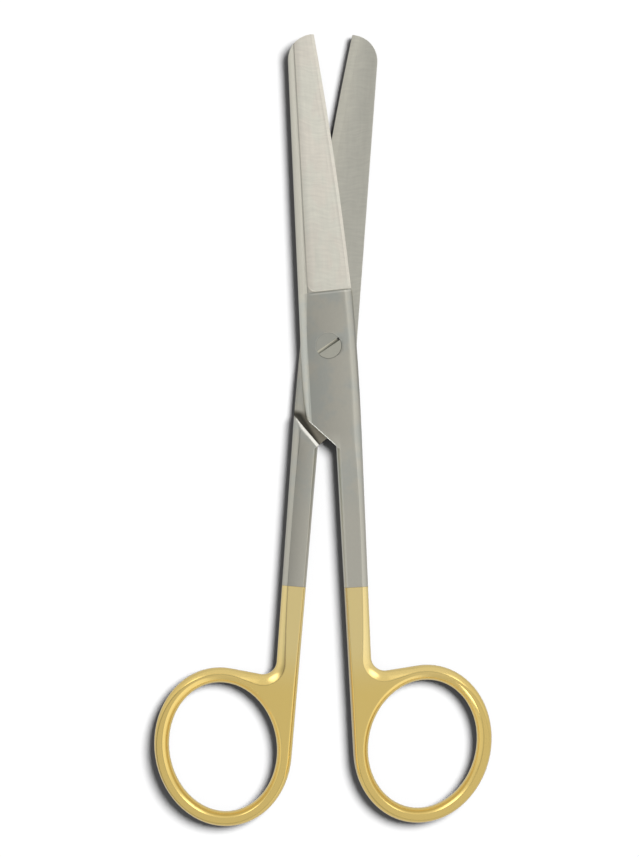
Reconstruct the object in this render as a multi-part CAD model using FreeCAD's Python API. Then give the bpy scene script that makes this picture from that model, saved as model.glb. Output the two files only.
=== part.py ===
import FreeCAD, Part
import math
import os

# Ring-handled operating scissors with blunt tips. Two forged halves cross at a slotted screw,
# and each blade carries a brazed carbide strip along its cutting edge.
# Lengths are in millimetres and angles in degrees. +Y points to the tips and +Z is up. The
# origin is on the pivot axis, in the plane that the scissors lie on.
# Both halves have one shape, apart from the place and the tilt of their rings. It is drawn
# closed, about the pivot, with the mating face at z = 0, the outer face upwards, the spine
# at -X and the cutting edge and the handle at +X.

# Opening at rest
rest_opening = 8.0

# Thickness of one half
lap_thickness = 2.0
wall_height = 0.55
bevel_turn = 58.0
waist_depth = 0.25
waist_start_y = -18.0
waist_end_y = -62.0

# Blade
tip_reach = 56.4
tip_radius = 4.7
blade_base_y = 9.85
spine_to_axis_at_tip = 4.38
edge_to_axis_at_tip = 0.45
edge_to_axis_at_base = 4.67
edge_bulge = 0.4

# Ground plane of the blade's outer face, below the flat of the joint. It falls by a share of
# the way across the blade and of the way along it.
ground_end_y = 9.8
ground_end_slope = 3.0
ground_start_x = -3.35
ground_depth = 0.08
ground_fall_across = 0.13
ground_fall_along = 0.0086
ground_corner_radius = 1.6
grinding_radius = 0.35

# Hollow of the blade's inner face
hollow_start_y = 12.5
hollow_full_y = 22.0
hollow_depth = 0.05
hollow_land = 0.55

# Sharpened facet and carbide strip
facet_width = 0.5
edge_land = 0.08
facet_start_y = 10.3
insert_width = 1.4
insert_start_y = 11.2

# Joint
spine_to_axis_at_joint = 5.1
spine_side_widest_y = -4.0
lap_corner_to_axis = 4.9
lap_corner_radius = 1.9
lap_chamfer = 0.15
toe_radius = 0.4
outer_side_at_blade = 4.8
lap_reach = 12.6
stop_gap = 0.3
stop_chamfer = 0.52

# Shank
closed_gap = 0.8
shank_side_at_joint = 5.12
shank_side_start_y = -16.0
shank_side_at_ring = 4.57
shank_side_end_y = -55.4
corner_radius = 2.5
shoulder_rise = 6.0

# Finger rings
upper_ring_reach = 72.85
upper_ring_tilt = 17.2
lower_ring_reach = 73.92
lower_ring_tilt = 13.4
hole_half_long = 11.72
hole_half_short = 9.73
ring_wall = 2.67

# Bevel along the outside of each face, as the width it would have at full thickness
spine_bevel_at_tip = 2.4
spine_bevel_at_joint = 1.12
lap_corner_bevel = 0.8
joint_bevel = 1.25
shank_bevel = 1.8
corner_bevel = 1.7
shoulder_bevel_rise = 9.0
inner_bevel = 0.7
ring_bevel_long = 0.86
ring_bevel_short = 0.55
ring_bevel_shift = 0.4

# Flared mouth of the finger hole
flare_start = 0.6
flare_long = 1.1
flare_short = 1.0
flare_shift = 0.18

# Pivot screw
head_radius = 2.3
head_height = 0.95
head_sink = 0.02
shoulder_radius = 1.6
thread_radius = 1.3
thread_end_chamfer = 0.2
slot_width = 0.6
slot_depth = 0.55
slot_angle = 34.4
running_clearance = 0.03
head_float = 0.03
thread_clearance = 0.02

# Spare length of the cutters and of the bar that the blade is ground from
spare = 5.0

# Steps that a rounded surface is drawn in
BEVEL_STEPS = 6
MOUTH_STEPS = 4

VERTICAL = FreeCAD.Vector(0, 0, 1)
ORIGIN = FreeCAD.Vector(0, 0, 0)
slant_sum = -lap_reach * math.sqrt(2)
bar_end_y = tip_reach + spare


def point(x, y, z=0.0):
    return FreeCAD.Vector(x, y, z)


def unit(vector):
    return vector * (1.0 / vector.Length)


def quarter_left(vector):
    """The vector turned a quarter to the left, seen from above."""
    return FreeCAD.Vector(-vector.y, vector.x, 0)


def meeting_point(start, direction, other_start, other_direction):
    """Where two lines of one level cross."""
    side = quarter_left(other_direction)
    distance = (other_start - start).dot(side) / direction.dot(side)
    return start + direction * distance


def tangent_arc(start, direction, end):
    """The arc that leaves start along a direction and ends at end, and how it leaves end."""
    side = quarter_left(direction)
    chord = end - start
    radius = chord.dot(chord) / (2 * chord.dot(side))
    centre = start + side * radius
    middle = centre + unit((start - centre) + (end - centre)) * abs(radius)
    leaving = chord * (2 * chord.dot(direction) / chord.dot(chord)) - direction
    return Part.Arc(start, middle, end).toShape(), unit(leaving)


def rounded_corner(before, corner, after, radius):
    """The arc that rounds a corner, with its two ends."""
    back = unit(before - corner)
    ahead = unit(after - corner)
    half_angle = back.getAngle(ahead) / 2
    setback = radius / math.tan(half_angle)
    bisector = unit(back + ahead)
    centre = corner + bisector * (radius / math.sin(half_angle))
    first = corner + back * setback
    last = corner + ahead * setback
    return Part.Arc(first, centre - bisector * radius, last).toShape(), first, last


def line_chain(points):
    return [Part.makeLine(a, b) for a, b in zip(points, points[1:])]


def prism(edges, bottom, top):
    """A plan drawn at z = 0, extruded from one height to another."""
    face = Part.Face(Part.Wire(Part.__sortEdges__(edges)))
    face.translate(VERTICAL * bottom)
    return face.extrude(VERTICAL * (top - bottom))


class TiltedEllipse:
    """An ellipse of the finger ring, found by its size and by the way it touches a line."""

    def __init__(self, half_long, half_short, tilt):
        self.half_long = half_long
        self.half_short = half_short
        self.along = point(math.sin(math.radians(tilt)), math.cos(math.radians(tilt)))
        self.across = quarter_left(self.along)
        self.centre = ORIGIN

    def turn_facing(self, normal):
        """The parameter of the point that lies furthest along a normal, from 0 to a full turn."""
        long_part = self.half_long * normal.dot(self.along)
        short_part = self.half_short * normal.dot(self.across)
        return math.atan2(short_part, long_part) % (2 * math.pi)

    def at(self, turn):
        long_part = self.along * (self.half_long * math.cos(turn))
        return self.centre + long_part + self.across * (self.half_short * math.sin(turn))

    def curve(self):
        long_end = self.centre + self.along * self.half_long
        return Part.Ellipse(long_end, self.centre + self.across * self.half_short, self.centre)


def ring_outline(share, ring_reach, tilt):
    """The ring's outer ellipse, which touches the inner side of the shank."""
    inner_side = closed_gap / 2 + share * inner_bevel
    ellipse = TiltedEllipse(hole_half_long + ring_wall - share * ring_bevel_long,
                            hole_half_short + ring_wall - share * ring_bevel_short, tilt)
    left_reach = -ellipse.at(ellipse.turn_facing(point(-1, 0))).x
    ellipse.centre = point(inner_side + left_reach, -ring_reach - share * ring_bevel_shift)
    return ellipse


def plan(height, share, ring_reach, tilt):
    """The plan of the unground half: share 0 is its outline, 1 the inner line of the bevel."""
    ring = ring_outline(share, ring_reach, tilt)
    left_turn = ring.turn_facing(point(-1, 0))
    ring_left = ring.at(left_turn)
    rise = math.radians(shoulder_rise + share * shoulder_bevel_rise)
    shoulder_direction = point(math.cos(rise), math.sin(rise))
    top_turn = ring.turn_facing(quarter_left(shoulder_direction)) + 2 * math.pi
    ring_top = ring.at(top_turn)

    spine_end = point(-spine_to_axis_at_tip + share * spine_bevel_at_tip, bar_end_y)
    spine_low = point(-spine_to_axis_at_joint + share * spine_bevel_at_joint, spine_side_widest_y)
    lap_corner_x = -lap_corner_to_axis + share * lap_corner_bevel
    lap_corner = point(lap_corner_x, slant_sum - lap_corner_x)
    toe = point(ring_left.x, slant_sum - ring_left.x)
    shank_start = point(shank_side_at_joint - share * joint_bevel, shank_side_start_y)
    shank_end = point(shank_side_at_ring - share * shank_bevel, shank_side_end_y)
    blade_base = point(outer_side_at_blade - share * joint_bevel, blade_base_y)

    spine_direction = unit(spine_low - spine_end)
    shank_direction = unit(shank_start - shank_end)
    corner = meeting_point(shank_start, shank_direction, ring_top, shoulder_direction)
    corner_arc, corner_start, corner_end = rounded_corner(
        ring_top, corner, shank_start, corner_radius + share * corner_bevel)
    lap_arc = tangent_arc(spine_low, spine_direction, lap_corner)[0]
    toe_arc, toe_start, toe_end = rounded_corner(lap_corner, toe, ring_left, toe_radius)
    joint_arc, joint_leaving = tangent_arc(shank_start, shank_direction, blade_base)
    bar_corner = blade_base + joint_leaving * ((bar_end_y - blade_base_y) / joint_leaving.y)

    edges = line_chain([bar_corner, spine_end, spine_low])
    edges += [lap_arc, Part.makeLine(lap_corner, toe_start), toe_arc, Part.makeLine(toe_end, ring_left)]
    edges.append(Part.ArcOfEllipse(ring.curve(), left_turn, top_turn).toShape())
    edges.append(Part.makeLine(ring_top, corner_start))
    edges.append(corner_arc)
    edges.append(Part.makeLine(corner_end, shank_start))
    edges.append(joint_arc)
    edges.append(Part.makeLine(blade_base, bar_corner))
    wire = Part.Wire(edges)
    wire.translate(VERTICAL * height)
    return wire


def rounding(start_height, end_height, steps):
    """Heights and shares of the levels that carry a surface from upright to nearly flat."""
    levels = []
    for step in range(steps + 1):
        angle = math.radians(bevel_turn) * step / steps
        share = (1 - math.cos(angle)) / (1 - math.cos(math.radians(bevel_turn)))
        rise = math.sin(angle) / math.sin(math.radians(bevel_turn))
        levels.append((start_height + rise * (end_height - start_height), share))
    return levels


def finger_hole(ring_reach, tilt):
    """The hole of the ring, with a rounded mouth that opens towards the outer face."""
    centre = ring_outline(0, ring_reach, tilt).centre
    mouths = []
    for height, share in rounding(flare_start, lap_thickness, MOUTH_STEPS):
        mouth = TiltedEllipse(hole_half_long + share * flare_long,
                              hole_half_short + share * flare_short, tilt)
        mouth.centre = centre + point(share * flare_shift, 0, height)
        mouths.append(Part.Wire([mouth.curve().toShape()]))
    bore = Part.Face(mouths[0]).extrude(VERTICAL * (-flare_start - spare))
    above = Part.Face(mouths[-1]).extrude(VERTICAL * spare)
    return bore.fuse([Part.makeLoft(mouths, True, False), above])


def waist():
    """The shallow hollow that thins the shank between the joint and the ring."""
    half_length = (waist_start_y - waist_end_y) / 2
    radius = (half_length ** 2 + waist_depth ** 2) / (2 * waist_depth)
    middle_y = (waist_start_y + waist_end_y) / 2
    start = point(-4 * spare, middle_y, lap_thickness - waist_depth + radius)
    return Part.makeCylinder(radius, 12 * spare, start, point(1, 0))


def lap_corner_cutter():
    """What rounds off the corner between the spine side and the slanted shoulder of the lap."""
    corner = point(-lap_corner_to_axis, slant_sum + lap_corner_to_axis)
    above = point(-spine_to_axis_at_joint, spine_side_widest_y)
    toe = point(closed_gap / 2, slant_sum - closed_gap / 2)
    arc, first, last = rounded_corner(above, corner, toe, lap_corner_radius)
    outside = line_chain([last, last + point(-1, -1), first + point(-1, -1), first + point(-1, 0), first])
    return prism([arc] + outside, -spare, spare)


def slanted_bar(across, profile, start, end):
    """A bar square to a level direction, from a profile of distances along it and heights."""
    along = quarter_left(across)
    corners = [across * distance + VERTICAL * height for distance, height in profile]
    section = Part.Face(Part.Wire(line_chain(corners + corners[:1])))
    section.translate(along * start)
    return section.extrude(along * (end - start))


def lap_chamfer_cutter():
    """What breaks the outer edge of the lap's slanted shoulder, from its corner to the toe."""
    edge = lap_reach - lap_chamfer
    profile = [(edge - spare, lap_thickness + spare), (lap_reach + spare, lap_thickness + spare),
               (lap_reach + spare, lap_thickness - lap_chamfer - spare)]
    toe_distance = (closed_gap - slant_sum) / math.sqrt(2)
    return slanted_bar(unit(point(-1, -1)), profile, 0, toe_distance - toe_radius / 2)


def unground_half(ring_reach, tilt):
    """The upper layer of the forging: a bevelled plate with the finger hole."""
    slab = Part.Face(plan(0, 0, ring_reach, tilt)).extrude(VERTICAL * wall_height)
    plans = [plan(height, share, ring_reach, tilt)
             for height, share in rounding(wall_height, lap_thickness, BEVEL_STEPS)]
    plate = slab.fuse(Part.makeLoft(plans, True, True))
    cutters = [waist(), finger_hole(ring_reach, tilt), lap_corner_cutter(), lap_chamfer_cutter()]
    return plate.cut(cutters)


def handle_underside(plate):
    """The lower layer, which only the handle has. It starts at the stop, a slanted step."""
    stop = lap_reach + stop_gap
    low = -lap_thickness - spare
    span = plate.BoundBox.DiagonalLength
    profile = [(stop, spare), (stop, stop_chamfer - lap_thickness),
               (stop + stop_chamfer + spare, low), (stop + span, low), (stop + span, spare)]
    zone = slanted_bar(unit(point(1, -1)), profile, -span, span)
    return plate.mirror(ORIGIN, VERTICAL).common(zone)


class CuttingEdge:
    """The cutting edge in plan: a flat arc from the base of the blade to its tip."""

    def __init__(self):
        base = point(edge_to_axis_at_base, blade_base_y)
        tip = point(edge_to_axis_at_tip, tip_reach)
        chord = tip - base
        half_chord = chord.Length / 2
        self.radius = (half_chord ** 2 + edge_bulge ** 2) / (2 * edge_bulge)
        inward = quarter_left(unit(chord))
        self.centre = base + chord * 0.5 + inward * (self.radius - edge_bulge)

    def at(self, y, inset=0.0):
        reach = self.radius - inset
        return point(self.centre.x + math.sqrt(reach ** 2 - (y - self.centre.y) ** 2), y)

    def arc(self, start_y, end_y, inset=0.0):
        middle_y = (start_y + end_y) / 2
        points = [self.at(y, inset) for y in (start_y, middle_y, end_y)]
        return Part.Arc(*points).toShape()


def outside_of_blade(edge):
    """Everything beyond the cutting edge and the blunt tip, from the base of the blade up."""
    spine_end = point(-spine_to_axis_at_tip, bar_end_y)
    spine_low = point(-spine_to_axis_at_joint, spine_side_widest_y)
    edge_tip = edge.at(tip_reach)
    corner = meeting_point(spine_low, spine_end - spine_low, edge_tip, point(-1, 0))
    tip_arc, tip_first, tip_last = rounded_corner(edge_tip, corner, spine_low, tip_radius)
    base = edge.at(blade_base_y)
    far_x = 3 * spare
    frame = [tip_last, point(-far_x, tip_last.y), point(-far_x, bar_end_y + spare),
             point(far_x, bar_end_y + spare), point(far_x, blade_base_y), base]
    plan_edges = [edge.arc(blade_base_y, tip_reach), Part.makeLine(edge_tip, tip_first), tip_arc]
    return prism(plan_edges + line_chain(frame), -spare, spare)


def grinding_cutter():
    """What the wheel takes off the outer face of the blade, down to the ground plane."""
    slope = math.tan(math.radians(ground_end_slope))
    above = point(ground_start_x, bar_end_y + spare)
    corner = point(ground_start_x, ground_end_y + slope * ground_start_x)
    far = point(3 * spare, ground_end_y + slope * 3 * spare)
    arc, first, last = rounded_corner(above, corner, far, ground_corner_radius)
    block = prism([arc] + line_chain([last, far, point(far.x, above.y), above, first]), 0, 2 * spare)
    wheel_edges = [edge for edge in block.Edges
                   if edge.BoundBox.ZMax < grinding_radius / 2
                   and edge.BoundBox.XMin < far.x - spare and edge.BoundBox.YMin < bar_end_y]
    block = block.makeFillet(grinding_radius, wheel_edges)
    block.rotate(corner, point(0, 1), math.degrees(math.atan(ground_fall_across)))
    block.rotate(corner, point(1, 0), -math.degrees(math.atan(ground_fall_along)))
    block.translate(VERTICAL * (lap_thickness - ground_depth))
    return block


def hollow_cutter(edge):
    """The shallow hollow of the inner face, which leaves a land along the edge and the spine."""
    sections = []
    for y, depth in ((hollow_start_y, hollow_depth / 20), (hollow_full_y, hollow_depth),
                     (bar_end_y, hollow_depth)):
        share = (y - spine_side_widest_y) / (bar_end_y - spine_side_widest_y)
        spine_x = -spine_to_axis_at_joint + share * (spine_to_axis_at_joint - spine_to_axis_at_tip)
        left = point(spine_x + hollow_land, y)
        right = edge.at(y, hollow_land)
        crown = (left + right) * 0.5 + VERTICAL * depth
        floor = [right, right - VERTICAL * spare, left - VERTICAL * spare, left]
        sections.append(Part.Wire([Part.Arc(left, crown, right).toShape()] + line_chain(floor)))
    return Part.makeLoft(sections, True, True)


def facet_cutter(edge):
    """What leaves the sharpened facet along the cutting edge."""
    ground_fall = ground_fall_across * (edge_to_axis_at_base - ground_start_x)
    ground_height = lap_thickness - ground_depth - ground_fall
    steepness = (ground_height - edge_land) / facet_width
    radial = unit(edge.at(facet_start_y) - edge.centre)
    reach = 2 * facet_width
    section = [(edge.radius + reach, edge_land - steepness * reach),
               (edge.radius - reach, edge_land + steepness * reach),
               (edge.radius + reach, edge_land + steepness * reach)]
    corners = [edge.centre + radial * distance + VERTICAL * height for distance, height in section]
    face = Part.Face(Part.Wire(line_chain(corners + corners[:1])))
    sweep = math.degrees((bar_end_y - facet_start_y) / edge.radius)
    return face.revolve(edge.centre, VERTICAL, sweep)


def insert_zone(edge):
    """The strip of the blade, along its cutting edge, that is carbide."""
    inner_low = edge.at(insert_start_y, insert_width)
    inner_high = edge.at(bar_end_y, insert_width)
    far_x = 3 * spare
    frame = [inner_high, point(far_x, bar_end_y), point(far_x, insert_start_y), inner_low]
    return prism([edge.arc(insert_start_y, bar_end_y, insert_width)] + line_chain(frame), -spare, spare)


def closed_half(ring_reach, tilt):
    """One half and its carbide strip, before the pivot hole is made."""
    edge = CuttingEdge()
    plate = unground_half(ring_reach, tilt)
    blade = plate.cut([outside_of_blade(edge), grinding_cutter(), facet_cutter(edge),
                       hollow_cutter(edge)])
    whole = blade.fuse(handle_underside(plate)).removeSplitter()
    zone = insert_zone(edge)
    return whole.cut(zone), whole.common(zone)


def upper_pivot_hole():
    """The counterbore for the head and the running hole for the shoulder."""
    hole = Part.makeCylinder(shoulder_radius + running_clearance, 2 * spare, point(0, 0, -spare))
    floor = lap_thickness - head_sink - head_height - head_float
    counterbore = Part.makeCylinder(head_radius + running_clearance, spare, point(0, 0, floor))
    return hole.fuse(counterbore)


def lower_pivot_hole():
    """The tapped hole, without its fine thread."""
    return Part.makeCylinder(thread_radius + thread_clearance, 2 * spare, point(0, 0, -spare))


def pivot_screw():
    """The slotted screw, with z = 0 where its shoulder seats on the lower half."""
    top = lap_thickness - head_sink
    head = Part.makeCylinder(head_radius, head_height, point(0, 0, top - head_height))
    shoulder = Part.makeCylinder(shoulder_radius, top - head_height)
    thread = Part.makeCylinder(thread_radius, lap_thickness, point(0, 0, -lap_thickness))
    end = [edge for edge in thread.Edges if edge.BoundBox.ZMax < -lap_thickness / 2]
    thread = thread.makeChamfer(thread_end_chamfer, end)
    slot = Part.makeBox(4 * head_radius, slot_width, spare,
                        point(-2 * head_radius, -slot_width / 2, top - slot_depth))
    slot.rotate(ORIGIN, VERTICAL, slot_angle)
    return head.fuse([shoulder, thread]).removeSplitter().cut(slot)


def place_upper(shape):
    placed = shape.copy()
    placed.rotate(ORIGIN, VERTICAL, rest_opening / 2)
    placed.translate(VERTICAL * lap_thickness)
    return placed


def place_lower(shape):
    placed = shape.copy()
    placed.rotate(ORIGIN, point(0, 1), 180)
    placed.rotate(ORIGIN, VERTICAL, -rest_opening / 2)
    placed.translate(VERTICAL * lap_thickness)
    return placed


def build():
    upper_half, upper_insert = closed_half(upper_ring_reach, upper_ring_tilt)
    lower_half, lower_insert = closed_half(lower_ring_reach, lower_ring_tilt)
    screw = pivot_screw()
    screw.translate(VERTICAL * lap_thickness)
    return {
        "upper_half": place_upper(upper_half.cut(upper_pivot_hole())),
        "upper_carbide_insert": place_upper(upper_insert),
        "lower_half": place_lower(lower_half.cut(lower_pivot_hole())),
        "lower_carbide_insert": place_lower(lower_insert),
        "pivot_screw": screw,
    }


os.makedirs("parts", exist_ok=True)
for name, shape in build().items():
    solid = shape.Solids[0] if len(shape.Solids) == 1 else shape
    solid.exportStep("parts/" + name + ".step")
    print(name, len(shape.Solids), "solid", round(shape.Volume, 2), "mm3", "valid", shape.isValid())
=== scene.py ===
import math

import bpy
from mathutils import Matrix, Vector

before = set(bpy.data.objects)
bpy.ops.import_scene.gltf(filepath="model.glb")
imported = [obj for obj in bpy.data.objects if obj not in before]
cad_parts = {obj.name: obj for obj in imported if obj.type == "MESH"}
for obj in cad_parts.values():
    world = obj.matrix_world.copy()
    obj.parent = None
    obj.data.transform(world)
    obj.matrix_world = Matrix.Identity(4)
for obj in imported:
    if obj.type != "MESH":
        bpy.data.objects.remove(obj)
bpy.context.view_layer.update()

# Lengths are in metres unless a name ends in _mm. Material coordinates are in millimetres, in the
# frame in which each half is drawn closed: spine at -X, cutting edge and handle at +X, tip at +Y,
# outer face at +Z and mating face at z = 0.
MM = 0.001

# Each half stands this far from the closed position at rest
half_turn = math.radians(4.0)
mating_height_mm = 2.0

# Image frame, and the place of the pivot in it
image_width_px = 639
image_height_px = 857
pivot_x_px = 328.55
pivot_y_px = 345.7
mm_per_px = 0.181
lean = math.radians(0.83)
camera_lens_mm = 250.0
sensor_mm = 36.0

# Blade: its cutting edge as a line x(y), the facet along it, the lighter band along the edge of
# the inner face, and the ground plane of the outer face, which starts on a slanting line and
# leaves a strip along the spine
edge_at_pivot_mm = 5.56
edge_slope = -0.0907
facet_mm = 0.55
edge_band_mm = (0.2, 3.5)
ground_start_mm = 9.8
ground_slope = -math.tan(math.radians(3.0))
ground_side_mm = -3.24

# Soft borders along each half, from and to: where the ground inner face of the blade begins,
# where the joint turns into the shank, the steel turns warm, and the handle turns into the ring
inner_ground_mm = (-6.0, 11.0)
joint_to_shank_mm = (-15.0, -20.0)
cool_to_warm_mm = (-22.0, -32.0)
handle_to_ring_mm = (-54.0, -64.0)

# The joint's face is slightly crowned: it falls with the square of the distance from the middle,
# and less so towards its blade end and its shank end
crown_per_mm = -0.0042
crown_blade_end_mm = (9.5, 3.0)
crown_shank_end_mm = (-30.0, -8.0)

# Outer side of the joint and the shank as a line x(y), the same for the crease of the spine's
# bevel, which ends at a limit, and the width of the side's bevel, which grows along the shank
side_at_pivot_mm = 4.92
side_slope = -0.0124
spine_at_pivot_mm = -3.94
spine_slope = 0.055
spine_limit_mm = -3.8
bevel_at_joint_mm = 1.25
bevel_at_ring_mm = 1.8
bevel_widens_mm = (-16.0, -55.4)

# Lap and stop stand at 45 degrees, so they are lines of x + y and of (x - y) / sqrt(2), each with
# a chamfer that carries a painted highlight, the stop's only towards the spine
lap_mm = -17.82
lap_chamfer_mm = 0.24
stop_mm = 12.95
stop_chamfer_mm = 0.5
stop_underside_mm = -1.46
stop_lit_mm = (7.0, 3.5)
lap_top_mm = 1.8
lap_inner_mm = 0.5

# Painted shade in the recess beside the stop: its soft borders, and the slanting one of its darkest
# part
recess_start_mm = (10.4, 11.4)
recess_side_mm = (-11.8, -13.0)
recess_deep_mm = (12.1, 13.2)
recess_deep_slope = 0.28

# Screw: its head, the joint's face around it, and the direction, floor and reach of its slot
head_radius_mm = 2.33
seat_radius_mm = 2.7
slot_angle = math.radians(34.4)
slot_floor_mm = 1.45
slot_reach_mm = 1.8

# Gilt plating starts on this line of the shank
gilt_start_mm = -43.88

# Centres and tilts in degrees of the finger holes, in the closed frames, their half sizes, the
# width of their mouths and the place of the painted shade line in them
ring_places = {"upper": ((12.986, -72.85), 17.2), "lower": ((12.915, -73.92), 13.4)}
hole_long_mm = 11.72
hole_short_mm = 9.73
hole_mean_mm = 10.7
hole_mouth_mm = (1.2, 1.4)
mouth_shade_line_mm = 0.55

# Radii to which the edges are worn, and how much of the wear the gilt shows
steel_wear_mm = 0.12
gilt_wear_mm = 0.34
joint_side_wear_mm = 0.75
screw_wear_mm = 0.06
gilt_wear_share = 0.25

# Heights of the grinding marks
shank_marks_mm = 0.0016
blade_marks_mm = 0.004

# Roughness of the metals, to which a fine grain is added
satin_roughness = 0.36
ground_roughness = 0.33
carbide_roughness = 0.32
handle_gilt_roughness = 0.25
ring_gilt_roughness = 0.18

# Edges that turn by more than this are real ones, and beside a level face by more than that
crisp_angle = 24.0
crease_angle = 8.0

# Painted light and shade on the steel: one factor, or the slope and the height of a line in x.
# A painted highlight on the strip along the spine and painted shade on the joint's rim add to it.
joint_painted_shading = (0.016, 0.94)
lower_shank_painted_shading = (-0.105, 1.17)
upper_shank_painted_shading = 1.05
lower_bevel_painted_light = 1.1
spine_bevel_painted_light = 1.4
inner_side_painted_light = 1.22
blade_painted_light = 1.33
strip_painted_highlight = 0.3
rim_painted_shade = -0.25
# How much the painted shade along the creases darkens them
steel_crease_painted_shade = -0.12
gilt_crease_painted_shades = {"upper": -0.22, "lower": -0.3}

# Steel of the joint and the shank, cool and warm
joint_colours = ((0.512, 0.522, 0.475, 1), (0.565, 0.548, 0.475, 1))
# Ground blade: outer face in its two tints, and inner face at the edge and away from it
outer_blade_colours = ((0.79, 0.772, 0.675, 1), (0.805, 0.762, 0.668, 1))
inner_blade_colours = ((0.70, 0.68, 0.585, 1), (0.655, 0.642, 0.56, 1))
# Gilt of the handle and of the ring, painted shade on the upper handle's inner side and in the
# mouth of the finger hole, and the line where the gilt starts
gilt_colours = ((1.0, 0.805, 0.37, 1), (1.0, 0.745, 0.25, 1))
handle_inner_painted_shade = (0.72, 0.6, 0.34, 1)
ring_mouth_painted_shade = (0.6, 0.38, 0.07, 1)
gilt_seam_colour = (0.25, 0.2, 0.12, 1)
# Steel, all painted light and shade: the dark line and the dark and light lines round the ground
# plane, the highlights on the chamfers of the lap and the stop, and the shade in the recess
ground_side_painted_shade = (0.25, 0.24, 0.2, 1)
ground_start_painted_shade = (0.2, 0.2, 0.17, 1)
ground_start_painted_highlight = (0.9, 0.88, 0.8, 1)
lap_chamfer_painted_highlight = (0.62, 0.62, 0.57, 1)
stop_chamfer_painted_highlight = (0.74, 0.73, 0.67, 1)
recess_painted_shade = (0.29, 0.26, 0.2, 1)
recess_painted_shadow = (0.05, 0.048, 0.04, 1)
# Screw: the line round its head, its face where it blends with the joint and where it is clear,
# and the slot's floor with its painted highlight, middle, painted shade and painted shadow at its
# end
head_line_colour = (0.12, 0.12, 0.1, 1)
head_colours = ((0.5, 0.5, 0.443, 1), (0.565, 0.557, 0.478, 1))
slot_painted_highlight = (0.82, 0.79, 0.66, 1)
slot_middle = (0.44, 0.43, 0.35, 1)
slot_painted_shade = (0.2, 0.2, 0.16, 1)
slot_end_painted_shadow = (0.1, 0.1, 0.09, 1)
floor_colour = (0.93, 0.93, 0.93, 1)

# Light tent: brightness by how far a direction points to the right, from -1 to 1, then below the
# floor, at the handle's end and at the blade's end
side_levels = ((-1.0, 0.72), (-0.85, 0.7), (-0.72, 0.48), (-0.6, 0.28), (-0.45, 0.14),
               (-0.28, 0.2), (-0.16, 0.44), (-0.07, 0.56), (0.05, 0.6), (0.12, 0.68),
               (0.2, 0.82), (0.3, 0.9), (0.6, 0.95), (0.85, 0.92), (1.0, 0.8))
level_below = 0.6
level_near = 0.55
level_far = 0.7
# Bright spots of the tent: direction, half width in radians and brightness
tent_spots = (((-0.45, 0.6, 0.66), 0.14, 1.6), ((0.45, 0.6, 0.66), 0.14, 1.6),
              ((-0.55, -0.5, 0.67), 0.12, 3.0))


class Graph:
    """Short ways to add and join the nodes of one tree."""

    def __init__(self, tree):
        self.tree = tree
        self.tree.nodes.clear()

    def node(self, kind, inputs=None, **settings):
        made = self.tree.nodes.new(kind)
        for name, value in settings.items():
            setattr(made, name, value)
        for key, value in (inputs or {}).items():
            if isinstance(value, bpy.types.NodeSocket):
                self.tree.links.new(value, made.inputs[key])
            else:
                made.inputs[key].default_value = value
        return made

    def math(self, operation, first, second=0.0, third=0.0):
        made = self.node("ShaderNodeMath", {0: first, 1: second, 2: third}, operation=operation)
        return made.outputs[0]

    def add(self, first, second):
        return self.math("ADD", first, second)

    def less(self, value, limit):
        return self.math("LESS_THAN", value, limit)

    def greater(self, value, limit):
        return self.math("GREATER_THAN", value, limit)

    def line(self, value, slope, start):
        """The height at value of a straight line."""
        return self.math("MULTIPLY_ADD", value, slope, start)

    def inverse(self, mask):
        return self.math("SUBTRACT", 1.0, mask)

    def times(self, first, *others):
        for other in others:
            first = self.math("MULTIPLY", first, other)
        return first

    def most(self, first, *others):
        for other in others:
            first = self.math("MAXIMUM", first, other)
        return first

    def step(self, value, low, high):
        """A soft step from 0 at low to 1 at high."""
        made = self.node("ShaderNodeMapRange", {"Value": value, "From Min": low, "From Max": high},
                         interpolation_type="SMOOTHSTEP")
        return made.outputs["Result"]

    def near(self, distance, half_width, softness):
        """1 on a line, from the distance to it."""
        off_line = self.math("ABSOLUTE", distance)
        return self.inverse(self.step(off_line, half_width, half_width + softness))

    def radius(self, x, y):
        return self.math("SQRT", self.add(self.times(x, x), self.times(y, y)))

    def axes(self, vector):
        """The three parts of a vector."""
        return tuple(self.node("ShaderNodeSeparateXYZ", {0: vector}).outputs)

    def vector(self, operation, first, second=(0, 0, 0)):
        made = self.node("ShaderNodeVectorMath", {0: first, 1: second}, operation=operation)
        return made.outputs["Value" if operation == "DOT_PRODUCT" else "Vector"]

    def scaled(self, vector, factor):
        """A vector or a colour times one factor."""
        made = self.node("ShaderNodeVectorMath", {0: vector, "Scale": factor}, operation="SCALE")
        return made.outputs["Vector"]

    def turned(self, vector, angle):
        made = self.node("ShaderNodeVectorRotate", {"Vector": vector, "Angle": angle},
                         rotation_type="Z_AXIS")
        return made.outputs["Vector"]

    def stretched(self, vector, factors, turn=0.0):
        """A vector turned about Z and then scaled along each axis."""
        return self.vector("MULTIPLY", self.turned(vector, turn), factors)

    def blend(self, share, first, second):
        """A colour that goes from first to second."""
        made = self.node("ShaderNodeMix", {"Factor": share, 6: first, 7: second}, data_type="RGBA")
        return made.outputs[2]

    def vector_blend(self, share, first, second):
        made = self.node("ShaderNodeMix", {"Factor": share, 4: first, 5: second},
                         data_type="VECTOR")
        return made.outputs[1]

    def value_blend(self, share, first, second):
        made = self.node("ShaderNodeMix", {"Factor": share, 2: first, 3: second},
                         data_type="FLOAT")
        return made.outputs[0]

    def noise(self, coordinates, scale, detail=2.0, roughness=0.5):
        made = self.node("ShaderNodeTexNoise", {"Vector": coordinates, "Scale": scale,
                                                "Detail": detail, "Roughness": roughness})
        return made.outputs["Fac"]

    def centred_noise(self, coordinates, scale, detail=2.0, roughness=0.5):
        return self.math("SUBTRACT", self.noise(coordinates, scale, detail, roughness), 0.5)


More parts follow.
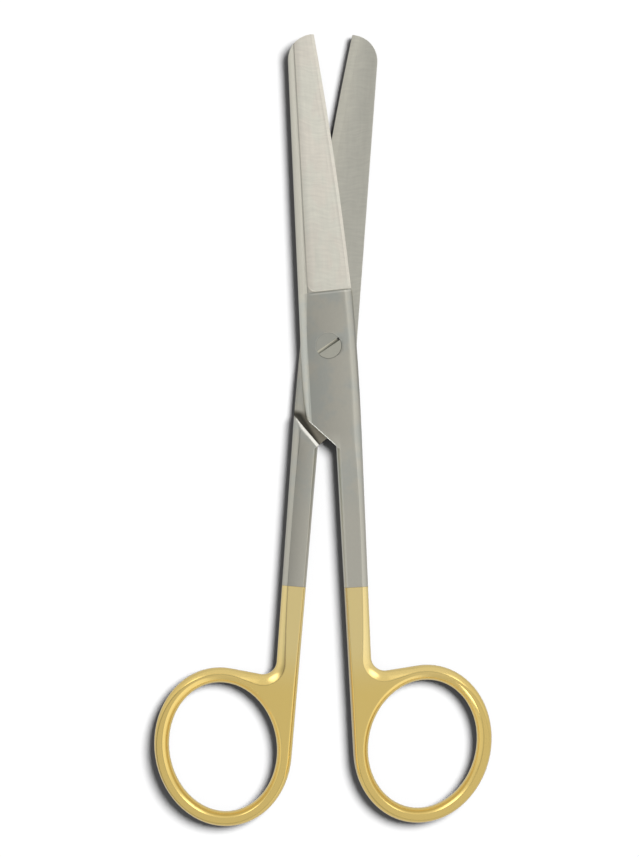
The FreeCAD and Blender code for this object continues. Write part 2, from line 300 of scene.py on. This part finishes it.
class Spot:
    """A point on a piece's surface, in millimetres in the closed frame of its half."""

    def __init__(self, graph, which):
        self.graph = graph
        self.which = which
        self.upper = which == "upper"
        place = graph.scaled(graph.node("ShaderNodeTexCoord").outputs["Object"], 1 / MM)
        place = graph.vector("SUBTRACT", place, (0, 0, mating_height_mm))
        place = graph.turned(place, -half_turn if self.upper else half_turn)
        if not self.upper:
            place = graph.vector("MULTIPLY", place, (-1, 1, -1))
        self.place = place
        self.x, self.y, self.z = graph.axes(place)

    def past_ground_start(self):
        """How far the point is beyond the line on which the blade's ground plane starts."""
        along = self.graph.line(self.x, ground_slope, self.y)
        return self.graph.add(along, -ground_start_mm)

    def on_outer_blade(self):
        """1 on the blade beyond the start of its ground plane, 0 on the joint."""
        return self.graph.step(self.past_ground_start(), -0.1, 0.05)

    def off_mating_face(self):
        return self.graph.step(self.z, 0.05, 0.1)

    def on_outer_side(self):
        return self.graph.greater(self.z, 1.0)

    def from_edge(self):
        """How far the point is inside the cutting edge."""
        edge_x = self.graph.line(self.y, edge_slope, edge_at_pivot_mm)
        return self.graph.math("SUBTRACT", edge_x, self.x)

    def on_facet(self):
        """1 on the sharpened facet along the cutting edge."""
        graph = self.graph
        return graph.times(graph.less(self.from_edge(), facet_mm), graph.greater(self.z, 0.07),
                           graph.greater(self.y, ground_start_mm + 0.1))

    def lower_right(self):
        """1 at the lower right of the screw head, where its edge isn't ground away."""
        graph = self.graph
        side = graph.math("SUBTRACT", graph.times(self.x, 0.56), graph.times(self.y, 0.83))
        return graph.step(side, -0.3, 0.7)

    def grain(self):
        """The fine unevenness of satin steel."""
        graph = self.graph
        return graph.centred_noise(graph.stretched(self.place, (2.0, 1.2, 2.0)), 1.4, 4.0, 0.65)


def new_material(name):
    material = bpy.data.materials.new(name)
    material.use_nodes = True
    return material, Graph(material.node_tree)


def blade_colour(spot):
    """Ground steel of the blade: warm outside, greyer inside and lighter along the edge."""
    graph, place = spot.graph, spot.place
    warm = graph.noise(graph.stretched(place, (0.35, 0.18, 0.2)), 1.0)
    outer = graph.blend(graph.step(warm, 0.4, 0.6), *outer_blade_colours)
    outer = graph.scaled(outer, graph.line(spot.x, 0.015, 0.99))
    outer = graph.scaled(outer, graph.value_blend(graph.step(spot.x, -3.3, -1.8), 0.86, 1.0))
    outer = graph.scaled(outer, graph.value_blend(graph.step(spot.y, 12.0, 38.0), 0.92, 1.0))
    inner = graph.blend(graph.step(spot.from_edge(), *edge_band_mm), *inner_blade_colours)
    colour = graph.blend(spot.off_mating_face(), inner, outer)

    # The grinding runs across the blade in lines that drift up and down
    drift = graph.noise(graph.stretched(place, (0.22, 0.12, 0.2)), 1.0, 1.0, 0.4)
    bent = graph.node("ShaderNodeCombineXYZ", {0: 0.0, 1: graph.times(drift, 3.0), 2: 0.0})
    bent = graph.vector("ADD", place, bent.outputs[0])
    bent = graph.stretched(bent, (0.35, 2.4, 1.0), math.radians(9))
    ripples = graph.centred_noise(bent, 1.0)
    streaks = graph.centred_noise(graph.stretched(place, (1.6, 0.22, 1.0)), 1.0, 3.0, 0.6)
    marks = graph.add(graph.times(ripples, 0.2), graph.times(streaks, 0.14))
    return graph.scaled(colour, graph.add(marks, 1.0))


def marks_along(spot):
    """Height in millimetres of the fine grinding marks along the shank."""
    graph = spot.graph
    marks = graph.noise(graph.stretched(spot.place, (5.0, 0.3, 5.0)), 1.0, 3.0, 0.6)
    return graph.times(marks, shank_marks_mm)


def marks_across(spot):
    """Height in millimetres of the coarser grinding marks across the blade."""
    graph = spot.graph
    marks = graph.stretched(spot.place, (0.25, 2.4, 1.0), math.radians(8))
    return graph.times(graph.noise(marks, 1.0, 3.0, 0.6), blade_marks_mm)


def worn_edges(graph, radius_mm, share):
    """The normal with its edges broken by a radius where share is 1, and the line of creases."""
    sharp = graph.node("ShaderNodeNewGeometry").outputs["Normal"]
    radius = graph.times(radius_mm, MM)
    broken = graph.node("ShaderNodeBevel", {"Radius": radius}, samples=8).outputs[0]
    apart = graph.inverse(graph.vector("DOT_PRODUCT", sharp, broken))
    crease = graph.times(graph.step(apart, 0.0005, 0.005), graph.step(apart, 0.2, 0.1))
    return graph.vector_blend(share, sharp, broken), crease


def lift(graph, normal, share):
    """The normal turned upwards where share is 1, as a narrow chamfer is dubbed over."""
    lifted = graph.vector("NORMALIZE", graph.vector("ADD", normal, (0, 0, 0.9)))
    return graph.vector_blend(share, normal, lifted)


def finish_metal(graph, colour, roughness, height, normal):
    bump = graph.node("ShaderNodeBump", {"Height": height, "Strength": 1.0, "Distance": MM,
                                         "Normal": normal})
    shader = graph.node("ShaderNodeBsdfPrincipled",
                        {"Base Color": colour, "Metallic": 1.0, "Roughness": roughness,
                         "Normal": bump.outputs["Normal"]})
    graph.node("ShaderNodeOutputMaterial", {"Surface": shader.outputs["BSDF"]})


def painted_steel_shading(spot):
    """Painted light and shade on the flat steel and its bevels across the joint and the shank."""
    graph, x, y = spot.graph, spot.x, spot.y
    joint = graph.line(x, *joint_painted_shading)
    shank = upper_shank_painted_shading if spot.upper else graph.line(x, *lower_shank_painted_shading)
    on_shank = graph.step(y, *joint_to_shank_mm)
    flat = graph.value_blend(on_shank, joint, shank)
    side_x = graph.line(y, side_slope, side_at_pivot_mm)
    from_side = graph.math("SUBTRACT", side_x, x)
    if not spot.upper:
        widening = graph.step(y, *bevel_widens_mm)
        bevel_width = graph.value_blend(widening, bevel_at_joint_mm, bevel_at_ring_mm)
        return graph.value_blend(graph.less(from_side, bevel_width), flat, lower_bevel_painted_light)
    crease_x = graph.most(graph.line(y, spine_slope, spine_at_pivot_mm), spine_limit_mm)
    past_crease = graph.math("SUBTRACT", crease_x, x)
    flat = graph.value_blend(graph.step(past_crease, -0.1, 0.1), flat, spine_bevel_painted_light)
    inner_side = graph.times(graph.step(x, 1.3, 1.0), on_shank)
    flat = graph.value_blend(inner_side, flat, inner_side_painted_light)
    # Painted shade on the rim along the joint's side
    rim = graph.times(graph.step(from_side, 0.25, 0.05), graph.step(y, -16.0, -8.0))
    return graph.times(flat, graph.line(rim, rim_painted_shade, 1.0))


def steel_colour(spot, blade, ground, grain):
    """Satin steel of the joint and the shank, and the blade with its strip along the spine, with
    painted light and shade on the bevels and the strip, and a painted shade line along the
    side of the ground plane.
    """
    graph, x, y = spot.graph, spot.x, spot.y
    blotches = graph.centred_noise(spot.place, 0.22, 3.0, 0.55)
    warmth = graph.most(graph.step(blotches, -0.12, 0.12), graph.step(y, *cool_to_warm_mm), blade)
    # Painted light and shade across the steel, lighter still on the blade's strip
    painted_shading_factor = graph.value_blend(blade, painted_steel_shading(spot), blade_painted_light)
    steel = graph.blend(warmth, *joint_colours)
    steel = graph.scaled(steel, graph.times(graph.line(grain, 0.10, 1.0), painted_shading_factor))
    # Painted highlight on the strip along the spine
    strip = graph.times(blade, graph.step(x, -4.3, -3.4), graph.step(x, -3.25, -3.35))
    steel = graph.scaled(steel, graph.line(strip, strip_painted_highlight, 1.0))
    steel = graph.blend(ground, steel, blade_colour(spot))
    # Painted shade: a dark line along the side of the ground plane
    ground_side = graph.times(graph.near(graph.add(x, -ground_side_mm), 0.08, 0.12),
                              blade, spot.on_outer_side())
    return graph.blend(graph.times(ground_side, 0.4), steel, ground_side_painted_shade)


def lap_and_stop(spot, steel):
    """The steel with painted highlights on the chamfers at the lap and the stop and painted shade
    in the recess between them, and where the chamfers are."""
    graph, x, y, z = spot.graph, spot.x, spot.y, spot.z
    past_lap = graph.add(x, graph.add(y, -lap_mm))
    lap_edge = graph.times(graph.less(past_lap, lap_chamfer_mm), graph.less(x, lap_inner_mm),
                           graph.greater(z, lap_top_mm))
    past_stop = graph.times(graph.math("SUBTRACT", x, y), math.sqrt(0.5))
    stop_edge = graph.times(graph.less(past_stop, stop_mm + stop_chamfer_mm),
                            graph.less(z, stop_underside_mm))
    # Painted highlights on the chamfers of the lap and, towards the spine, of the stop
    steel = graph.blend(lap_edge, steel, lap_chamfer_painted_highlight)
    lit = graph.times(stop_edge, graph.step(x, *stop_lit_mm))
    steel = graph.blend(lit, steel, stop_chamfer_painted_highlight)

    # Painted shade in the recess, with a painted shadow in its darkest part
    recess = graph.times(graph.math("COMPARE", z, 0.0, 0.06), graph.less(past_stop, stop_mm),
                         graph.step(past_stop, *recess_start_mm), graph.step(y, *recess_side_mm))
    steel = graph.blend(graph.times(recess, 0.85), steel, recess_painted_shade)
    deep = graph.step(graph.line(x, recess_deep_slope, past_stop), *recess_deep_mm)
    steel = graph.blend(graph.times(recess, deep, 0.9), steel, recess_painted_shadow)
    return steel, graph.most(lap_edge, stop_edge)


def ground_start(spot, steel):
    """The steel with a painted shade line and a painted highlight line where the blade's ground
    plane starts.
    """
    graph = spot.graph
    past_start = spot.past_ground_start()
    above = graph.times(spot.on_outer_side(), graph.step(spot.x, -3.4, -2.0))
    dark = graph.times(graph.near(past_start, 0.05, 0.15), above)
    light = graph.times(graph.near(graph.add(past_start, 0.3), 0.03, 0.2), above)
    steel = graph.blend(graph.times(dark, 0.55), steel, ground_start_painted_shade)
    return graph.blend(graph.times(light, 0.35), steel, ground_start_painted_highlight)


def screw_seat(spot, steel):
    """The steel with the line round the screw head, and where that line is ground away."""
    graph = spot.graph
    from_centre = graph.radius(spot.x, spot.y)
    clear = spot.lower_right()
    arc = graph.times(graph.near(graph.add(from_centre, -head_radius_mm), 0.03, 0.09), clear)
    steel = graph.blend(graph.times(arc, 0.6), steel, head_line_colour)
    # A lighter ring just outside the head at the upper left
    upper_left_lighter_ring = graph.times(graph.near(graph.add(from_centre, -head_radius_mm - 0.03), 0.05, 0.08),
                          graph.line(clear, -0.2, 0.2))
    steel = graph.scaled(steel, graph.add(upper_left_lighter_ring, 1.0))
    return steel, graph.times(graph.less(from_centre, seat_radius_mm), graph.inverse(clear))


def hole_rim(spot):
    """Distance from the edge of the finger hole in millimetres, and how far down left it is."""
    graph = spot.graph
    centre, tilt = ring_places[spot.which]
    turn = math.radians(tilt)
    flat = graph.node("ShaderNodeCombineXYZ", {0: spot.x, 1: spot.y, 2: 0.0}).outputs[0]
    flat = graph.vector("SUBTRACT", flat, (*centre, 0))
    long_part = graph.vector("DOT_PRODUCT", flat, (math.sin(turn), math.cos(turn), 0))
    short_part = graph.vector("DOT_PRODUCT", flat, (math.cos(turn), -math.sin(turn), 0))
    level = graph.radius(graph.times(long_part, 1 / hole_long_mm),
                         graph.times(short_part, 1 / hole_short_mm))
    distance = graph.line(level, hole_mean_mm, -hole_mean_mm)
    leftward = -0.6 if spot.upper else 0.6
    return distance, graph.vector("DOT_PRODUCT", flat, (leftward, -0.8, 0))


def gilt_colour(spot, grain, ring, from_hole, down_left):
    """Gold plating, deeper on the ring, with a line of painted shade at the lower left of the
    finger hole's mouth, and painted shade on the upper handle's inner side.
    """
    graph = spot.graph
    gold = graph.blend(ring, *gilt_colours)
    gold = graph.scaled(gold, graph.line(grain, 0.04, 1.0))
    # Painted shade: a darker line in the mouth of the finger hole, on its lower left side
    mouth_shade = graph.times(graph.near(graph.add(from_hole, -mouth_shade_line_mm), 0.08, 0.2),
                         graph.step(down_left, -6.0, 3.0))
    gold = graph.blend(graph.times(mouth_shade, 0.65), gold, ring_mouth_painted_shade)
    if spot.upper:
        # Painted shade on the upper handle's inner side
        gold = graph.blend(graph.step(spot.x, 1.1, 0.6), gold, handle_inner_painted_shade)
    return gold


def half_metal(which):
    """Satin steel, with gilt plating over the handle and the finger ring."""
    material, graph = new_material(which + "_steel_and_gilt")
    spot = Spot(graph, which)
    x, y = spot.x, spot.y
    grain = spot.grain()

    # Steel, from the ground blade to the shank
    blade = spot.on_outer_blade()
    inner_face = graph.inverse(spot.off_mating_face())
    ground = graph.most(graph.times(inner_face, graph.step(y, *inner_ground_mm)),
                        graph.times(blade, graph.step(x, -3.45, -3.25)))
    steel = steel_colour(spot, blade, ground, grain)
    steel, bright_edge = lap_and_stop(spot, steel)
    steel = ground_start(spot, steel)
    rounding = graph.inverse(graph.times(blade, graph.step(x, -3.2, -3.0)))
    if spot.upper:
        steel, ground_away = screw_seat(spot, steel)
        rounding = graph.times(rounding, graph.inverse(ground_away))
        bright_edge = graph.most(bright_edge, spot.on_facet())

    # Gilt, and the thin line on which it starts
    from_hole, down_left = hole_rim(spot)
    gilt = graph.less(y, gilt_start_mm)
    ring = graph.step(y, *handle_to_ring_mm)
    gold = gilt_colour(spot, grain, ring, from_hole, down_left)
    seam = graph.near(graph.add(y, -gilt_start_mm), 0.02, 0.12)
    colour = graph.blend(gilt, steel, gold)
    colour = graph.blend(graph.times(seam, 0.3), colour, gilt_seam_colour)

    # Worn edges, with a line of painted shade along the creases
    joint_side = graph.times(graph.step(x, 1.0, 3.0), graph.step(y, -22.0, -14.0))
    wear = graph.value_blend(gilt, steel_wear_mm, gilt_wear_mm)
    wear = graph.value_blend(joint_side, wear, joint_side_wear_mm)
    worn = graph.times(rounding, graph.value_blend(gilt, 1.0, gilt_wear_share))
    normal, crease = worn_edges(graph, wear, worn)
    crease = graph.times(crease, rounding, graph.inverse(joint_side),
                         graph.step(from_hole, *hole_mouth_mm), graph.step(x, 1.2, 1.5))
    painted_crease_darkening = graph.value_blend(gilt, steel_crease_painted_shade, gilt_crease_painted_shades[which])
    colour = graph.scaled(colour, graph.line(crease, painted_crease_darkening, 1.0))

    # Gloss, grinding marks, and the slight crown of the joint
    on_steel = graph.value_blend(ground, satin_roughness, ground_roughness)
    on_gilt = graph.value_blend(ring, handle_gilt_roughness, ring_gilt_roughness)
    roughness = graph.value_blend(gilt, graph.line(grain, 0.10, on_steel),
                                  graph.line(grain, 0.04, on_gilt))
    marks = graph.value_blend(blade, marks_along(spot), marks_across(spot))
    joint = graph.times(graph.step(y, *crown_shank_end_mm), graph.step(y, *crown_blade_end_mm))
    crown = graph.times(x, x, crown_per_mm, joint)
    height = graph.line(marks, graph.value_blend(gilt, 1.0, 0.3), crown)
    finish_metal(graph, colour, roughness, height, lift(graph, normal, bright_edge))
    return material


def carbide(which):
    """The brazed strip: the same grinding as the steel beside it, but a little lighter."""
    material, graph = new_material(which + "_carbide")
    spot = Spot(graph, which)
    colour = graph.scaled(blade_colour(spot), 1.02)
    roughness = graph.line(spot.grain(), 0.08, carbide_roughness)
    normal = graph.node("ShaderNodeNewGeometry").outputs["Normal"]
    if spot.upper:
        normal = lift(graph, normal, spot.on_facet())
    finish_metal(graph, colour, roughness, marks_across(spot), normal)
    return material


def screw_metal():
    """Turned steel, ground flush with the joint, with painted light and shade on its slot's floor.
    """
    material, graph = new_material("screw_steel")
    spot = Spot(graph, "upper")
    grain = graph.centred_noise(spot.place, 3.0, 4.0, 0.65)
    clear = spot.lower_right()
    face = graph.scaled(graph.blend(clear, *head_colours), graph.line(grain, 0.12, 1.0))
    cosine, sine = math.cos(slot_angle), math.sin(slot_angle)
    off_slot = graph.vector("DOT_PRODUCT", spot.place, (-sine, cosine, 0))
    along_slot = graph.vector("DOT_PRODUCT", spot.place, (cosine, sine, 0))
    # Painted highlight on one side of the slot's floor, painted shade on the other and a painted
    # shadow at its end
    floor = graph.blend(graph.step(off_slot, -0.06, -0.14), slot_middle, slot_painted_shade)
    floor = graph.blend(graph.step(off_slot, 0.06, 0.14), floor, slot_painted_highlight)
    floor = graph.blend(graph.step(along_slot, slot_reach_mm, slot_reach_mm + 0.3), floor, slot_end_painted_shadow)
    in_slot = graph.times(graph.step(spot.z, slot_floor_mm + 0.35, slot_floor_mm + 0.05),
                          graph.step(spot.z, slot_floor_mm - 0.55, slot_floor_mm - 0.45))
    colour = graph.blend(in_slot, face, floor)
    roughness = graph.line(grain, 0.10, satin_roughness)
    normal, crease = worn_edges(graph, screw_wear_mm, clear)
    finish_metal(graph, colour, roughness, marks_along(spot), normal)
    return material


def crisp_edges():
    """Modifier nodes that shade the CAD surfaces smooth and keep their real edges sharp."""
    tree = bpy.data.node_groups.new("crisp_edges", "GeometryNodeTree")
    tree.interface.new_socket("Geometry", in_out="INPUT", socket_type="NodeSocketGeometry")
    tree.interface.new_socket("Geometry", in_out="OUTPUT", socket_type="NodeSocketGeometry")
    graph = Graph(tree)
    shape = graph.node("NodeGroupInput").outputs[0]
    shape = graph.node("GeometryNodeRemoveAttribute",
                       {"Geometry": shape, "Name": "custom_normal"}).outputs["Geometry"]
    shape = graph.node("GeometryNodeMergeByDistance",
                       {"Geometry": shape, "Distance": 0.001 * MM}).outputs["Geometry"]
    shape = graph.node("GeometryNodeSetShadeSmooth", {"Geometry": shape}, domain="FACE").outputs[0]
    angle = graph.node("GeometryNodeInputMeshEdgeAngle").outputs["Unsigned Angle"]
    upright = graph.axes(graph.node("GeometryNodeInputNormal").outputs[0])[2]
    level = graph.greater(graph.math("ABSOLUTE", upright), 0.998)
    level = graph.node("GeometryNodeFieldOnDomain", {0: level}, data_type="FLOAT",
                       domain="FACE").outputs[0]
    beside_level = graph.math("COMPARE", level, 0.5, 0.3)
    limit = graph.line(beside_level, math.radians(crease_angle - crisp_angle),
                       math.radians(crisp_angle))
    smooth = graph.node("FunctionNodeCompare", {0: angle, 1: limit},
                        data_type="FLOAT", operation="LESS_THAN").outputs["Result"]
    shape = graph.node("GeometryNodeSetShadeSmooth", {"Geometry": shape, "Shade Smooth": smooth},
                       domain="EDGE").outputs[0]
    graph.node("NodeGroupOutput", {0: shape})
    return tree


def dress(node, material):
    """Gives a CAD node its material and its smooth shading."""
    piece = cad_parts[node]
    piece.data.materials.clear()
    piece.data.materials.append(material)
    piece.modifiers.new("crisp_edges", "NODES").node_group = shading


def make_world():
    """A light tent for the metal: bright at the right, dim at the left, white underneath."""
    world = bpy.data.worlds.new("light_tent")
    world.use_nodes = True
    world.cycles_visibility.diffuse = False
    bpy.context.scene.world = world
    graph = Graph(world.node_tree)
    direction = graph.node("ShaderNodeTexCoord").outputs["Generated"]
    x, y, z = graph.axes(direction)
    ramp = graph.node("ShaderNodeValToRGB", {0: graph.line(x, 0.5, 0.5)})
    elements = ramp.color_ramp.elements
    while len(elements) < len(side_levels):
        elements.new(0.5)
    for element, (place, level) in zip(elements, side_levels):
        element.position = (place + 1) / 2
        element.color = (level, level, level, 1)
    above = graph.step(z, -0.25, 0.05)
    tent = graph.value_blend(above, level_below, ramp.outputs["Color"])
    tent = graph.most(tent, graph.times(graph.step(y, -0.08, -0.35), level_near))
    tent = graph.value_blend(graph.times(graph.step(y, 0.15, 0.5), above), tent, level_far)
    for spot, width, level in tent_spots:
        nearness = graph.vector("DOT_PRODUCT", direction, tuple(Vector(spot).normalized()))
        patch = graph.step(nearness, math.cos(2 * width), math.cos(0.4 * width))
        tent = graph.add(tent, graph.times(patch, level))

    # The floor is lit by the lamps alone, and the camera sees white
    path = graph.node("ShaderNodeLightPath")
    from_floor = graph.greater(path.outputs["Diffuse Depth"], 0.5)
    tent = graph.times(tent, graph.inverse(from_floor))
    level = graph.value_blend(path.outputs["Is Camera Ray"], tent, 1.0)
    background = graph.node("ShaderNodeBackground", {"Color": level})
    graph.node("ShaderNodeOutputWorld", {"Surface": background.outputs[0]})


def add_sun(name, towards, width_degrees, level):
    """A soft far lamp that lights the floor: level is what it gives a white floor."""
    light = bpy.data.lights.new(name, "SUN")
    light.angle = math.radians(width_degrees)
    direction = Vector(towards).normalized()
    light.energy = level * math.pi / direction.z
    lamp = bpy.data.objects.new(name, light)
    lamp.rotation_euler = direction.to_track_quat("Z", "Y").to_euler()
    lamp.visible_glossy = False
    bpy.context.scene.collection.objects.link(lamp)


def make_floor():
    """A white floor that is open from below, so that the underside can be looked at."""
    size = 1.5
    mesh = bpy.data.meshes.new("floor")
    corners = [(-size, -size, 0), (size, -size, 0), (size, size, 0), (-size, size, 0)]
    mesh.from_pydata(corners, [], [(0, 1, 2, 3)])
    floor = bpy.data.objects.new("floor", mesh)
    floor.location.z = -0.02 * MM
    floor.visible_glossy = False
    bpy.context.scene.collection.objects.link(floor)
    material, graph = new_material("floor_white")
    diffuse = graph.node("ShaderNodeBsdfDiffuse", {"Color": floor_colour})
    clear = graph.node("ShaderNodeBsdfTransparent")
    behind = graph.node("ShaderNodeNewGeometry").outputs["Backfacing"]
    mixed = graph.node("ShaderNodeMixShader",
                       {0: behind, 1: diffuse.outputs[0], 2: clear.outputs[0]})
    graph.node("ShaderNodeOutputMaterial", {"Surface": mixed.outputs[0]})
    mesh.materials.append(material)


def make_camera():
    """A long lens straight above, with the pivot where the picture has it."""
    data = bpy.data.cameras.new("camera")
    data.lens = camera_lens_mm
    data.sensor_width = sensor_mm
    camera = bpy.data.objects.new("camera", data)
    bpy.context.scene.collection.objects.link(camera)
    right = Vector((math.cos(lean), math.sin(lean), 0))
    up = Vector((-math.sin(lean), math.cos(lean), 0))
    centre = right * (image_width_px / 2 - pivot_x_px) + up * (pivot_y_px - image_height_px / 2)
    distance = mm_per_px * image_height_px * camera_lens_mm / sensor_mm
    place = centre * (mm_per_px * MM) + Vector((0, 0, (mating_height_mm + distance) * MM))
    axes = Matrix((right, up, Vector((0, 0, 1)))).transposed()
    camera.matrix_world = Matrix.Translation(place) @ axes.to_4x4()
    bpy.context.scene.camera = camera


shading = crisp_edges()
dress("upper_half", half_metal("upper"))
dress("lower_half", half_metal("lower"))
dress("upper_carbide_insert", carbide("upper"))
dress("lower_carbide_insert", carbide("lower"))
dress("pivot_screw", screw_metal())

make_world()
add_sun("key_lamp", (0.47, 0.32, 1.0), 26.0, 1.0)
add_sun("fill_lamp", (0.0, 0.0, 1.0), 150.0, 0.12)
make_floor()
make_camera()
bpy.context.scene.view_settings.view_transform = "Standard"
